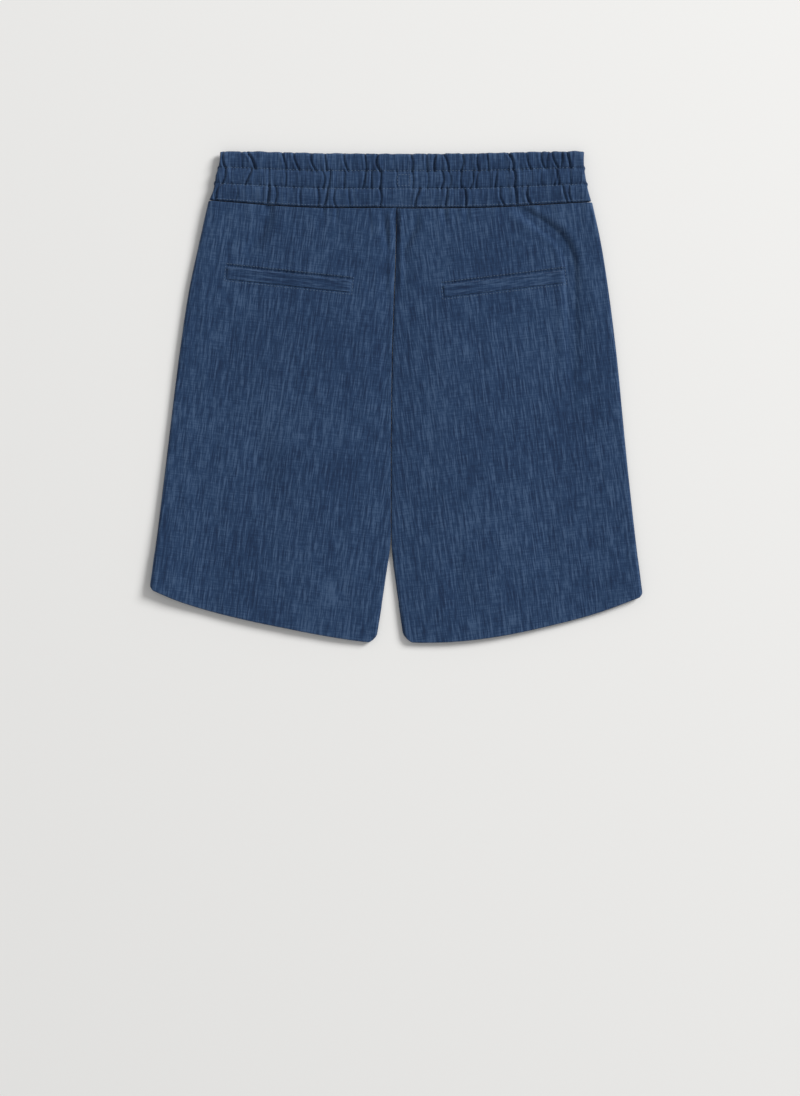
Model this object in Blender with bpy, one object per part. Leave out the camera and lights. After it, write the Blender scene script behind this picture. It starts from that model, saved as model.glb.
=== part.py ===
"""Bermuda shorts in linen, laid flat with their back upward.

Sizes are in millimetres and become metres when a mesh is made. A place on the garment is told in two ways:
- x runs across, 0 on the middle line and + to the wearer's right, and drop runs down from the waist;
- u runs across one leg, 0 at the centre seam or inseam and 1 at the side seam, and v runs down it,
  0 at the waist seam and 1 at the hem.
Each leg is a front panel, which lies on the surface below, and a back panel, which lies on the front one. Their
edges curve towards each other and meet at the side seam and inseam. The waistband closes the top.
"""

import bmesh
import bpy
import mathutils
import numpy as np

METRE = 1000.0
LEFT, RIGHT = -1, 1

# ---- cloth ----
WALL = 1.2
HEM_WALL = 1.9
HEM_FROM = 0.914
HEM_STEP = 0.004
BAND_WALL = 2.4
WELT_WALL = 1.3
SEAM_GAP = 0.3
LEAST_LOFT = 0.6

# ---- outline ----
LEG_WIDTH = 240.0
SIDES = (
    # drop, reach of the left side, reach of the right side
    (-2.0, 178.6, 198.0),
    (17.0, 181.0, 198.0),
    (26.0, 184.2, 199.6),
    (34.0, 184.6, 200.8),
    (51.0, 190.6, 205.2),
    (84.0, 197.8, 213.0),
    (134.0, 209.0, 221.3),
    (208.0, 220.4, 230.8),
    (307.0, 232.6, 240.3),
    (398.0, 243.8, 250.3),
    (449.0, 250.6, 256.5),
    (510.0, 258.7, 264.0),
)
CROTCH_DROP = 407.0
CROTCH_EASE = 14.0
CENTRE = (
    # drop, x of the left leg's inner edge, x of the right leg's: one line down to the crotch
    (-2.0, 3.6, 3.6),
    (100.0, 3.0, 3.0),
    (150.0, 1.2, 1.2),
    (200.0, -0.6, -0.6),
    (260.0, -1.6, -1.6),
    (380.0, -2.0, -2.0),
    (402.0, -2.0, -2.0),
    (CROTCH_DROP, -2.2, -1.8),
    (420.0, -4.3, -0.7),
    (437.0, -7.0, 1.6),
    (461.0, -10.4, 4.9),
    (510.0, -18.2, 12.0),
)
WAIST = (
    # u, drop of the waist's top edge, of the left waist seam, of the right waist seam
    (0.0, 1.6, 57.4, 57.8),
    (0.5, 0.6, 56.7, 56.8),
    (0.7, -0.3, 54.2, 54.6),
    (0.85, -0.8, 52.0, 53.0),
    (1.0, -0.8, 50.0, 51.5),
)
HEM = (
    # u, drop of the left hem, drop of the right hem
    (0.0, 506.0, 505.3),
    (0.1, 502.9, 505.3),
    (0.2, 499.3, 504.5),
    (0.4, 490.2, 498.5),
    (0.6, 480.4, 488.1),
    (0.8, 467.9, 475.2),
    (0.9, 460.1, 466.6),
    (0.96, 453.8, 461.0),
    (1.0, 449.1, 457.2),
)
HEM_CORNER = 9.0

# ---- thickness of the laid garment ----
LAID = {
    LEFT: (
        # v, thickness at u = 0, 0.3, 0.7 and 1, and how far the side seam's edge lies off the surface below
        (0.0, 6.2, 6.3, 6.3, 6.0, 2.4),
        (0.12, 4.6, 5.8, 5.0, 5.0, 2.2),
        (0.3, 3.8, 5.9, 4.8, 4.6, 2.0),
        (0.55, 3.4, 5.8, 4.2, 4.4, 1.8),
        (0.8, 4.0, 6.0, 4.6, 4.8, 2.6),
        (0.9, 4.8, 6.2, 5.4, 5.0, 3.4),
        (1.0, 5.2, 6.2, 6.6, 5.2, 4.6),
    ),
    RIGHT: (
        (0.0, 6.2, 6.3, 6.3, 6.0, 1.6),
        (0.12, 4.6, 5.6, 4.4, 5.2, 1.2),
        (0.3, 3.8, 5.8, 3.8, 4.8, 1.0),
        (0.55, 3.4, 5.9, 4.8, 4.4, 0.9),
        (0.8, 4.0, 5.8, 4.4, 4.6, 0.9),
        (0.9, 4.8, 6.0, 5.0, 4.8, 1.0),
        (1.0, 5.2, 6.2, 5.6, 5.0, 1.2),
    ),
}
LAID_COLUMNS = (0.0, 0.3, 0.7, 1.0)
CURL_FROM = 0.74
EDGE = 0.0125
FOLDS = (
    # from x, drop, to x, drop, width, rise: a trough's rise is below zero
    (3.0, 62.0, 1.0, 145.0, 16.0, -2.6),
    (27.0, 66.0, 8.0, 106.0, 12.0, -1.2),
    (126.0, 60.0, 152.0, 72.0, 18.0, -1.6),
    (152.0, 72.0, 184.0, 110.0, 20.0, -2.0),
    (184.0, 110.0, 188.0, 290.0, 20.0, -1.4),
    (-128.0, 60.0, -144.0, 98.0, 18.0, -1.8),
    (206.0, 80.0, 218.0, 200.0, 22.0, 1.4),
    (-34.0, 75.0, -30.0, 230.0, 40.0, 0.5),
)
FOLD_FADE = (0.03, 0.92)

# ---- waistband ----
STITCH_ROWS = (0.32, 0.66)
BAND_THICK = 6.4
PUFF = 1.3
GATHER = 0.7
GATHER_PITCH = 23.0
GATHER_WANDER = 0.6
# x of the middle of the flat patch at the centre back, its reach to each side, and the fade into the gathers
FLAT_PATCH = (5.0, 10.0, 12.0)
UNDER_DIP = 0.5

# ---- back pockets ----
WELT_HEIGHT = 12.9
WELTS = (
    # node, leg, inner end's x and drop, outer end's x and drop, along the welt's upper edge
    ("welt_left", LEFT, -45.8, 132.7, -173.0, 118.8),
    ("welt_right", RIGHT, 48.0, 138.2, 172.7, 122.6),
)

# ---- how finely the cloth is cut into faces ----
BACK_CELLS = (13, 18)
FRONT_CELLS = (8, 7)
BAND_BACK_CELLS = 62
BAND_FRONT_CELLS = 34
WELT_CELLS = (12, 2)

# ---- colours ----
LINEN = (0.024, 0.052, 0.115)
LINEN_ROUGHNESS = 0.85


def smooth(knots, values, at):
    """Values told at the knots, read smoothly between them. Each value is a number or a grid as large as at."""
    knots = np.array(knots)
    slopes = np.gradient(values, knots, axis=0)
    at = np.clip(at, knots[0], knots[-1])
    row = np.clip(np.searchsorted(knots, at, side="right") - 1, 0, len(knots) - 2)
    step = knots[row + 1] - knots[row]
    t = (at - knots[row]) / step

    def told(table, place):
        return np.take_along_axis(table, place[None], axis=0)[0] if table.ndim > 1 else table[place]

    return (
        told(values, row) * (1 + 2 * t) * (1 - t) ** 2
        + told(values, row + 1) * (3 - 2 * t) * t**2
        + told(slopes, row) * step * t * (1 - t) ** 2
        - told(slopes, row + 1) * step * (1 - t) * t**2
    )


def curve(table, column, at):
    """Reads one column of a table at any value of its first column."""
    rows = np.array(table)
    return smooth(rows[:, 0], rows[:, column], at)


def ease(at, start, end):
    """0 up to the start, 1 from the end, and smooth between them."""
    t = np.clip((at - start) / (end - start), 0, 1)
    return t * t * (3 - 2 * t)


def of_leg(leg):
    """The place of a leg's value in a table's pair of left and right."""
    return 0 if leg == LEFT else 1


def inner_edge(leg, drop):
    return curve(CENTRE, 1 + of_leg(leg), drop)


def side_edge(leg, drop):
    return leg * curve(SIDES, 1 + of_leg(leg), drop)


def waist_seam(leg, u):
    return curve(WAIST, 2 + of_leg(leg), u)


def hem_line(leg, u):
    """The hem's drop, with the corner rounded where the hem meets the inseam."""
    from_inseam = u * LEG_WIDTH
    short = np.clip(HEM_CORNER - from_inseam, 0, None)
    return curve(HEM, 1 + of_leg(leg), u) - HEM_CORNER + np.sqrt(HEM_CORNER**2 - short**2)


def on_leg(leg, u, v):
    """x and drop of a place on a leg."""
    waist = waist_seam(leg, u) + SEAM_GAP / 2
    drop = waist + (hem_line(leg, u) - waist) * v
    inner = inner_edge(leg, drop) + leg * SEAM_GAP / 2
    return inner + (side_edge(leg, drop) - inner) * u, drop


def leg_place(leg, x, drop):
    """u and v of a place on a leg, the other way round from on_leg."""
    inner = inner_edge(leg, drop) + leg * SEAM_GAP / 2
    u = (x - inner) / (side_edge(leg, drop) - inner)
    waist = waist_seam(leg, u) + SEAM_GAP / 2
    return u, (drop - waist) / (hem_line(leg, u) - waist)


def fold_rise(x, drop):
    """How far the largest folds lift or sink the upper layer."""
    rise = np.zeros(np.shape(x))
    for x_from, drop_from, x_to, drop_to, width, height in FOLDS:
        run = np.array((x_to - x_from, drop_to - drop_from))
        along = ((x - x_from) * run[0] + (drop - drop_from) * run[1]) / (run @ run)
        along = np.clip(along, 0, 1)
        away = np.hypot(x - x_from - along * run[0], drop - drop_from - along * run[1])
        rise = rise + height * np.exp(-((2 * away / width) ** 2))
    return rise


def leg_heights(leg, u, v):
    """Height of the leg's underside over the surface below, and its thickness there with no folds."""
    across = np.stack([curve(LAID[leg], 1 + k, v) for k in range(len(LAID_COLUMNS))])
    rest = curve(LAID[leg], 1 + len(LAID_COLUMNS), v) * ease(u, CURL_FROM, 1)
    return rest, smooth(LAID_COLUMNS, across, u)


def edge_round(u):
    """1 at an edge and 0 from where the cloth lies level, as a quarter of an ellipse."""
    inward = np.clip(1 - u / EDGE, 0, 1)
    return 1 - np.sqrt(1 - inward**2)


def leg_open(leg, v):
    """0 down to the crotch, and 1 where the inner edge is an inseam of its own."""
    _, drop = on_leg(leg, np.zeros(np.shape(v)), v)
    return ease(drop, CROTCH_DROP, CROTCH_DROP + CROTCH_EASE)


def leg_wall(v):
    """The wall of the cloth, thicker where the hem is turned up."""
    return WALL + (HEM_WALL - WALL) * ease(v, HEM_FROM, HEM_FROM + HEM_STEP)


def back_top(leg, u, v):
    """Height of a back panel's upper face."""
    rest, thick = leg_heights(leg, u, v)
    x, drop = on_leg(leg, u, v)
    start, end = FOLD_FADE
    folds = fold_rise(x, drop) * ease(v, 0, start) * (1 - ease(u, end, 1))
    laid = np.maximum(thick + folds, 2 * leg_wall(v) + LEAST_LOFT)
    fall = np.maximum(leg_open(leg, v) * edge_round(u), edge_round(1 - u))
    return rest + laid - (laid / 2 - SEAM_GAP / 2) * fall


def front_bottom(leg, u, v):
    """Height of a front panel's lower face."""
    rest, thick = leg_heights(leg, u, v)
    climb = np.maximum(leg_open(leg, v) * edge_round(u), edge_round(1 - u))
    return rest + (thick / 2 - SEAM_GAP / 2) * climb


def unit(vectors):
    return vectors / np.linalg.norm(vectors, axis=-1, keepdims=True)


def grid_normals(points, up):
    """Unit normals of a grid of points, on its upper face if up is 1 and on its lower if -1."""
    across = np.gradient(points, axis=1)
    down = np.gradient(points, axis=0)
    normals = np.cross(down, across)
    return unit(normals * up * np.sign(normals[..., 2].sum()))


def in_space(x, drop, z):
    return np.stack([x, -drop, z], axis=-1)


def cloth_object(name, outer, inner):
    """One closed body from the two faces of a cloth, each a grid of points."""
    rows, columns = outer.shape[:2]
    mesh = bmesh.new()
    faces = []
    for side in (outer, inner):
        faces.append([[mesh.verts.new(point / METRE) for point in row] for row in side])
    for sheet in faces:
        for i in range(rows - 1):
            for j in range(columns - 1):
                mesh.faces.new((sheet[i][j], sheet[i][j + 1], sheet[i + 1][j + 1], sheet[i + 1][j]))
    rim = [(0, j) for j in range(columns)]
    rim += [(i, columns - 1) for i in range(1, rows)]
    rim += [(rows - 1, j) for j in range(columns - 2, -1, -1)]
    rim += [(i, 0) for i in range(rows - 2, 0, -1)]
    for (i, j), (m, n) in zip(rim, rim[1:] + rim[:1]):
        mesh.faces.new((faces[0][i][j], faces[0][m][n], faces[1][m][n], faces[1][i][j]))
    bmesh.ops.recalc_face_normals(mesh, faces=mesh.faces)
    data = bpy.data.meshes.new(name)
    mesh.to_mesh(data)
    mesh.free()
    data.shade_smooth()
    data.set_sharp_from_angle(angle=np.radians(50))
    data.materials.append(linen(name))
    bpy.context.scene.collection.objects.link(bpy.data.objects.new(name, data))


def linen(name):
    material = bpy.data.materials.new(name)
    material.use_nodes = True
    shader = material.node_tree.nodes["Principled BSDF"]
    shader.inputs["Base Color"].default_value = (*LINEN, 1)
    shader.inputs["Roughness"].default_value = LINEN_ROUGHNESS
    shader.inputs["Metallic"].default_value = 0
    return material


def leg_columns(cells):
    """Values of u: even between the edges, and close together where an edge or the hem's corner is round."""
    arc = EDGE * (1 - np.cos(np.radians((0, 30, 60))))
    corner = np.array((0.6, 1.1)) * HEM_CORNER / LEG_WIDTH
    middle = np.linspace(2 * corner[-1], 1 - EDGE, cells)
    return np.concatenate([arc, [EDGE], corner, middle, 1 - arc[::-1]])


def leg_rows(leg, cells):
    """Values of v: even down to the crotch, then even to the hem, and close at the crotch and hem's top."""
    crotch = leg_place(leg, inner_edge(leg, CROTCH_DROP) + leg * SEAM_GAP / 2, CROTCH_DROP)[1]
    above = np.linspace(0, crotch, cells)
    below = crotch + (HEM_FROM - crotch) * np.array((0.12, 0.25, 0.6, 1))
    hem = np.linspace(HEM_FROM + HEM_STEP, 1, 3)
    return np.concatenate([above, below, hem])


def leg_panel(name, leg, cells, height, up):
    """A leg's front or back: its outer face is given by height, and its wall lies inside it."""
    u, v = np.meshgrid(leg_columns(cells[0]), leg_rows(leg, cells[1]))
    x, drop = on_leg(leg, u, v)
    outer = in_space(x, drop, height(leg, u, v))
    normals = grid_normals(outer, up)
    level = np.array((0, 0, up))
    inseam = leg_open(leg, v[:, 0])[:, None]
    normals[:, 0] = unit(inseam * np.array((-leg, 0, 0)) + (1 - inseam) * level)
    normals[:, -1] = (leg, 0, 0)
    normals[(0, -1), :, 1] = 0
    inner = outer - unit(normals) * leg_wall(v)[..., None]
    cloth_object(name, outer, inner)


def band_grid(cells):
    """Places on the waistband: grids of x, drop, u, q, which runs down it from 0 to 1, and the leg below."""
    first, second = STITCH_ROWS
    q_rows = np.array((0, first / 2, first, (first + second) / 2, second, (1 + second) / 2, 1))
    end = 1 - EDGE * (1 - np.cos(np.radians((60, 30, 0))))
    across, q = np.meshgrid(np.concatenate([-end[::-1], np.linspace(EDGE - 1, 1 - EDGE, cells), end]), q_rows)
    leg = np.where(across < 0, LEFT, RIGHT)
    u = np.abs(across)
    seam = np.where(leg == LEFT, waist_seam(LEFT, u), waist_seam(RIGHT, u)) - SEAM_GAP / 2
    top = curve(WAIST, 1, u)
    drop = top + (seam - top) * q
    side = np.where(leg == LEFT, side_edge(LEFT, drop), side_edge(RIGHT, drop))
    inner = inner_edge(LEFT, drop)
    return inner + (side - inner) * u, drop, u, q, leg


def row_puff(q):
    """How much the cloth swells between the stitch rows: 0 on a row and 1 midway."""
    edges = (0, *STITCH_ROWS, 1)
    swell = np.zeros(np.shape(q))
    for start, end in zip(edges, edges[1:]):
        inside = (q >= start) & (q <= end)
        swell = np.where(inside, np.sin(np.pi * (q - start) / (end - start)), swell)
    return np.maximum(swell, 0.5 * (q == 0))


def gathers(x, q):
    """The waist's gathers, from -1 to 1 and uneven, gone on the flat patch at the centre back."""
    row = np.digitize(q, STITCH_ROWS)
    wander = GATHER_WANDER * np.sin(2 * np.pi * x / (10 * GATHER_PITCH) + 2 * row)
    middle, reach, fade = FLAT_PATCH
    return np.sin(2 * np.pi * x / GATHER_PITCH + wander + 2 * row) * ease(abs(x - middle), reach, reach + fade)


def waistband(name, cells, up):
    """Half of the waistband's ring: the back one is puffed and gathered, and the front one lies under it."""
    x, drop, u, q, leg = band_grid(cells)
    puff = row_puff(q)
    rest = np.where(leg == LEFT, LAID[LEFT][0][-1], LAID[RIGHT][0][-1]) * ease(u, CURL_FROM, 1)
    seam_height = rest + BAND_THICK / 2
    if up == 1:
        thick = BAND_THICK + puff * (PUFF + GATHER * gathers(x, q))
        z = rest + thick - (rest + thick - seam_height - SEAM_GAP / 2) * edge_round(1 - u)
    else:
        level = rest + UNDER_DIP * (1 - ease(puff, 0, 0.4))
        z = level + (seam_height - SEAM_GAP / 2 - level) * edge_round(1 - u)
    outer = in_space(x, drop, z)
    normals = grid_normals(outer, up)
    normals[:, 0] = (LEFT, 0, 0)
    normals[:, -1] = (RIGHT, 0, 0)
    normals[(0, -1), :, 1] = 0
    inner = outer - unit(normals) * BAND_WALL
    cloth_object(name, outer, inner)


def welt(name, leg, x_in, drop_in, x_out, drop_out):
    """A pocket's welt: a strip that lies on the back panel."""
    along, down = np.meshgrid(np.linspace(0, 1, WELT_CELLS[0] + 1), np.linspace(0, 1, WELT_CELLS[1] + 1))
    run = unit(np.array((x_out - x_in, drop_out - drop_in)))
    x = x_in + (x_out - x_in) * along - leg * run[1] * WELT_HEIGHT * down
    drop = drop_in + (drop_out - drop_in) * along + leg * run[0] * WELT_HEIGHT * down
    u, v = leg_place(leg, x, drop)
    under = in_space(x, drop, back_top(leg, u, v) + 2 * SEAM_GAP)
    outer = under + np.array((0, 0, WELT_WALL))
    cloth_object(name, outer, under)


def centre_on_origin(pieces):
    """Moves the cloth so that the middle of the garment's underside is the origin."""
    corners = np.array([vertex.co for piece in pieces for vertex in piece.data.vertices])
    low, high = corners.min(axis=0), corners.max(axis=0)
    shift = mathutils.Vector((-(low[0] + high[0]) / 2, -(low[1] + high[1]) / 2, -low[2]))
    for piece in pieces:
        piece.data.transform(mathutils.Matrix.Translation(shift))


def make_shorts():
    for thing in list(bpy.data.objects):
        bpy.data.objects.remove(thing)
    for leg, word in ((LEFT, "left"), (RIGHT, "right")):
        leg_panel(f"back_{word}", leg, BACK_CELLS, back_top, 1)
        leg_panel(f"front_{word}", leg, FRONT_CELLS, front_bottom, -1)
    waistband("waistband_back", BAND_BACK_CELLS, 1)
    waistband("waistband_front", BAND_FRONT_CELLS, -1)
    for row in WELTS:
        welt(*row)
    centre_on_origin(bpy.data.objects)


make_shorts()
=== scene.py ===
# %% [markdown]
# # Linen bermuda shorts, laid flat on their front
#
# These pull-on shorts are cut from slubby blue linen: two back panels, two front panels, a gathered elastic
# waistband and two single-welt pockets. They lie flat with the back upward. Cloth is thin, so every piece
# here is a closed shell about one to three millimetres thick, and its look comes from three things in turn:
# the outline of the cut, the way the cloth lies in soft troughs and sharp gathers, and the yarns of the
# weave.
#
# The frame holds plain solids of the same pieces at their real size. Each shell takes its outline and its
# main form from the solid that it stands for. Only the folds, the gathers and the stitches are given one
# by one.

# %% Load the frame
import math

import bpy
import numpy as np
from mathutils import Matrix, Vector
from mathutils.bvhtree import BVHTree


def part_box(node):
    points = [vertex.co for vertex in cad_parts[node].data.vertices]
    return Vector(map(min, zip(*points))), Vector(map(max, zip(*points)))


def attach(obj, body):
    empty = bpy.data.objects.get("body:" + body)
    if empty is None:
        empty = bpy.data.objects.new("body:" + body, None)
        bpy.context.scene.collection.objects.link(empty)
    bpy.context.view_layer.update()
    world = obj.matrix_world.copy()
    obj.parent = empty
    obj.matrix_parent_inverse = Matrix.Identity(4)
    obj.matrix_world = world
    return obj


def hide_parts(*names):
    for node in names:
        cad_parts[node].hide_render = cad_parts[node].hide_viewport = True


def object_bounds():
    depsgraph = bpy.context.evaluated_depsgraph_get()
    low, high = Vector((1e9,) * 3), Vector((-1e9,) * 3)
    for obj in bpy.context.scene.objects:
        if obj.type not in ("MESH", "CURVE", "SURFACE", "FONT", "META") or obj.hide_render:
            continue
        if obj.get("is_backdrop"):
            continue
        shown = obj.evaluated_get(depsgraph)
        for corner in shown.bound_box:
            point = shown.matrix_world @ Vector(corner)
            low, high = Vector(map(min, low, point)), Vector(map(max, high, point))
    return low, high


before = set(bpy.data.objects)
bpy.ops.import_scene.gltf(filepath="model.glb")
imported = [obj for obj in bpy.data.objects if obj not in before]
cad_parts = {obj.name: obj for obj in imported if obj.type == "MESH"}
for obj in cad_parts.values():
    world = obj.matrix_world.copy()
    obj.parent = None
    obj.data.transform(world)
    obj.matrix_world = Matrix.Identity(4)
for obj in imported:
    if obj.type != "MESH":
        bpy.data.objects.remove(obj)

CAD_BOX = [list(corner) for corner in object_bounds()]
MM = 0.001
scene = bpy.context.scene
print("solids:", ", ".join(sorted(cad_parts)))

# %% [markdown]
# ## Places on the garment
#
# A maker measures from the top of the centre-back seam: how far across, and how far down from the waist's
# edge. All the tables below are in those millimetres, + across to the wearer's right. The frame's boxes say
# where that point is, and two small functions turn places on the garment into places in the scene.

# %% Where the measuring starts
SEAM_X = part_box("back_left")[1][0] / MM
WAIST_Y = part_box("waistband_back")[1][1] / MM


def across_of(x):
    return x - SEAM_X


def down_of(y):
    return WAIST_Y - y


print(f"measured from x {SEAM_X:.1f}, y {WAIST_Y:.1f} mm")

# %% [markdown]
# ## Reading a solid
#
# A panel of cloth has four edges. Cutting the solid with a row of upright planes shows where each edge
# runs: on every cut, the lowest or highest point is a point of the edge. Beyond the panel's corners the
# edge goes straight on, so that two edges always cross. Rays sent down on the solid give the height of its
# form in between.

# %% Read the edges and heights of a solid
def solid(node):
    """A solid's corners in millimetres, and its edges."""
    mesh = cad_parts[node].data
    corners = np.empty(3 * len(mesh.vertices), np.float32)
    mesh.vertices.foreach_get("co", corners)
    edges = np.empty(2 * len(mesh.edges), np.int32)
    mesh.edges.foreach_get("vertices", edges)
    return corners.reshape(-1, 3).astype(float) / MM, edges.reshape(-1, 2)


def corner_of(node, right, up):
    """The corner that lies furthest to the right or left, and up or down, of a solid seen from above."""
    corners, _ = solid(node)
    return corners[np.argmax(right * corners[:, 0] + up * corners[:, 1]), :2]


def edge_line(node, axis, pick, start, end, spread, cuts=60):
    """The edge of a solid as a function: the highest or lowest reach on cuts along an axis, smoothed."""
    corners, edges = solid(node)
    first, second = corners[edges[:, 0]], corners[edges[:, 1]]
    places = np.linspace(start, end, cuts + 2)[1:-1]
    reach = []
    for place in places:
        run = second[:, axis] - first[:, axis]
        part = (place - first[:, axis]) / np.where(run == 0, np.inf, run)
        cut = (part > 0) & (part < 1)
        reach.append(pick((first + (second - first) * part[:, None])[cut, 1 - axis]))
    places, reach = np.sort(places), np.array(reach)[np.argsort(places)]
    if spread:
        weight = np.exp(-(((places[:, None] - places) / spread) ** 2))
        flat = np.polyfit(places, reach, 3)
        rest = reach - np.polyval(flat, places)
        reach = np.polyval(flat, places) + (weight @ rest) / weight.sum(axis=1)
    low = (reach[3] - reach[0]) / (places[3] - places[0])
    high = (reach[-1] - reach[-4]) / (places[-1] - places[-4])

    def line(at):
        inside = np.interp(at, places, reach)
        below = np.minimum(at - places[0], 0) * low
        return inside + below + np.maximum(at - places[-1], 0) * high

    return line


def outline(node, spread):
    """The left, right, top and bottom edges of a four-sided panel, as functions."""
    top_left, top_right = corner_of(node, -1, 1), corner_of(node, 1, 1)
    low_left, low_right = corner_of(node, -1, -1), corner_of(node, 1, -1)
    return {
        "left": edge_line(node, 1, np.min, low_left[1], top_left[1], spread),
        "right": edge_line(node, 1, np.max, low_right[1], top_right[1], spread),
        "top": edge_line(node, 0, np.max, top_left[0], top_right[0], spread),
        "bottom": edge_line(node, 0, np.min, low_left[0], low_right[0], spread),
    }


def spread_grid(edges, s, t):
    """Places of a panel: s runs from its left edge to its right, and t from its top to its bottom."""
    x = edges["left"](0 * s) * (1 - s) + edges["right"](0 * s) * s
    y = 0 * s
    for _ in range(12):
        y = edges["top"](x) * (1 - t) + edges["bottom"](x) * t
        x = edges["left"](y) * (1 - s) + edges["right"](y) * s
    return x, y


def heights(node, x, y, up):
    """Heights of a solid's upper face (up = 1) or lower face (up = -1) at places seen from above."""
    corners, _ = solid(node)
    faces = [tuple(face.vertices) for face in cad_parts[node].data.polygons]
    tree = BVHTree.FromPolygons([tuple(corner) for corner in corners], faces)
    found = np.full(x.shape, np.nan)
    for place in np.ndindex(x.shape):
        hit = tree.ray_cast(Vector((x[place], y[place], 100 * up)), Vector((0, 0, -up)))[0]
        if hit is not None:
            found[place] = hit.z
    return found


OUTLINES = {node: outline(node, 12) for node in ("back_left", "back_right")}
OUTLINES["waistband_back"] = outline("waistband_back", 0)
for node in OUTLINES:
    low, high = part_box(node)
    print(node, "is", [round((b - a) / MM) for a, b in zip(low, high)], "mm")

# %% [markdown]
# ## Soft shapes in numbers
#
# Cloth never bends at a corner, so every run of numbers is joined by a smooth curve. A fold is a line on
# the cloth with a depth and a width: the surface sinks along it in a bell-shaped trough, and the cloth that
# it takes up stands a little proud on both sides. Small unevenness is a sum of waves with seeded
# directions, so that it is the same each time that the script is run.

# %% Curves, folds and unevenness
def smooth(knots, values, at):
    """A smooth run through values at knots, read at a row of places. The values may be rows of numbers."""
    knots, values = np.asarray(knots, float), np.asarray(values, float)
    slopes = np.gradient(values, knots, axis=0)
    at = np.clip(at, knots[0], knots[-1])
    step = np.clip(np.searchsorted(knots, at, side="right") - 1, 0, len(knots) - 2)
    width = knots[step + 1] - knots[step]
    part = (at - knots[step]) / width
    if values.ndim > 1:
        part, width = part[:, None], width[:, None]
    return (
        values[step] * (1 + 2 * part) * (1 - part) ** 2
        + values[step + 1] * part**2 * (3 - 2 * part)
        + width * part * (1 - part) * (slopes[step] * (1 - part) - slopes[step + 1] * part)
    )


def ease(value, low, high):
    """0 below low, 1 above high, and a soft step between them."""
    part = np.clip((value - low) / (high - low), 0, 1)
    return part * part * (3 - 2 * part)


def bell(distance, width):
    """1 at no distance, falling softly to nothing within about twice the width."""
    return np.exp(-((distance / width) ** 2))


def ripple(seed, x, y, sizes, length=1.0, count=28):
    """Seeded unevenness of about -1 to 1, in waves of the given sizes (mm), drawn out along y by length."""
    rng = np.random.default_rng(seed)
    along = y / length
    total = 0 * x
    for _ in range(count):
        size = rng.uniform(*sizes)
        turn = rng.uniform(0, math.pi)
        shift = rng.uniform(0, 2 * math.pi)
        wave = (x * math.cos(turn) + along * math.sin(turn)) / size
        total = total + np.sin(2 * math.pi * wave + shift)
    return total / math.sqrt(count)


def from_line(points, x, y, steps=24):
    """The distance of places x, y from a smooth line through points, and how far along it they lie (0-1)."""
    points = np.array(points, float)
    run = np.concatenate([[0], np.cumsum(np.hypot(*np.diff(points, axis=0).T))])
    marks = smooth(run, points, np.linspace(0, run[-1], steps))
    nearest, along = np.full(x.shape, np.inf), np.zeros(x.shape)
    for number, (start, end) in enumerate(zip(marks[:-1], marks[1:])):
        step = end - start
        part = ((x - start[0]) * step[0] + (y - start[1]) * step[1]) / (step @ step)
        part = np.clip(part, 0, 1)
        distance = np.hypot(x - start[0] - part * step[0], y - start[1] - part * step[1])
        closer = distance < nearest
        nearest = np.where(closer, distance, nearest)
        along = np.where(closer, (number + part) / (steps - 1), along)
    return nearest, along


def fold(x, y, points, depth, width, ends=(0.2, 0.3), shoulder=0.35):
    """The change of height that one fold makes: a trough with soft ends and a raised shoulder each side."""
    distance, along = from_line(points, x, y)
    strength = ease(along, 0, ends[0]) * (1 - ease(along, 1 - ends[1], 1))
    beside = bell(distance - 2.0 * width, 1.1 * width)
    return depth * strength * (shoulder * beside - bell(distance, width))


TRIAL = fold(np.zeros(1), np.zeros(1), [(0, -9), (0, 9)], 2, 3)
print("a 2 mm fold changes the height by", round(float(TRIAL.min()), 2), "mm")

# %% [markdown]
# ## One shell for every piece of cloth
#
# Real cloth has two faces and an edge. Each piece starts as a grid of points on its outer face. The inner
# face is the same grid moved inward by the cloth's thickness, and three more rings of points round the edge
# off, as a fold or a seam does. Every shell carries a map in metres called "grain", which runs along the
# threads and tells the linen where its yarns lie, and a number called "wear", which is 1 on edges that rub.

# %% Make a closed shell from a grid
def grid_normals(points, up):
    """Unit normals of a grid of points, on the side that up says."""
    down_rows, along_rows = np.gradient(points, axis=0), np.gradient(points, axis=1)
    normals = np.cross(along_rows, down_rows)
    normals /= np.linalg.norm(normals, axis=2, keepdims=True)
    return normals * up * np.sign(normals[..., 2].sum())


def edge_order(rows, columns):
    """The places of a grid's outermost points, once round."""
    top = [(0, c) for c in range(columns)]
    right = [(r, columns - 1) for r in range(1, rows)]
    bottom = [(rows - 1, c) for c in range(columns - 2, -1, -1)]
    left = [(r, 0) for r in range(rows - 2, 0, -1)]
    return np.array(top + right + bottom + left)


def outward(points, order):
    """At each edge point, the direction that leads out of the cloth, along its surface."""
    rows, columns = points.shape[:2]
    inside = np.clip(order, 1, [rows - 2, columns - 2])
    away = points[order[:, 0], order[:, 1]] - points[inside[:, 0], inside[:, 1]]
    return away / np.linalg.norm(away, axis=1, keepdims=True)


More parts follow.
